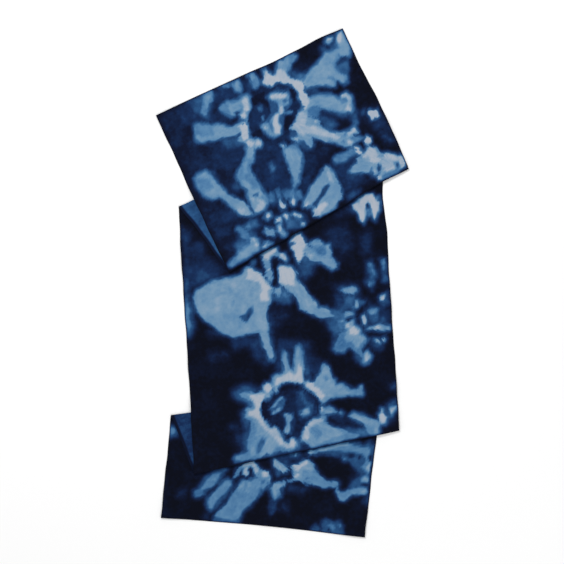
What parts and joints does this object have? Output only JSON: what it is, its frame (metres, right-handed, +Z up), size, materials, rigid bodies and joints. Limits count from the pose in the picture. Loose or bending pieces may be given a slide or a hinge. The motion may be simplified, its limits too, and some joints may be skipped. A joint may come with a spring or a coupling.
{
  "type": "folded shibori dyed cloth",
  "caption": "Narrow length of indigo tie-dyed cotton, laid out flat in a loose zigzag of soft, skewed folds, as a table runner, scarf or display cloth lies on a surface.",
  "frame": {"origin": "middle of the footprint's box, on the surface that the cloth lies on", "axes": "+Z up from the surface; +Y along the zigzag towards its upper end, the free end that lies on top; +X to the right, seen from above"},
  "size_m": [0.4436, 0.8936, 0.0072],
  "materials": {
    "indigo_cotton": "matt plain-weave cotton, resist-dyed in indigo, undyed marks from pale blue to off-white"
  },
  "bodies": {
    "root": {"dyed_cloth": "indigo_cotton"}
  },
  "joints": []
}
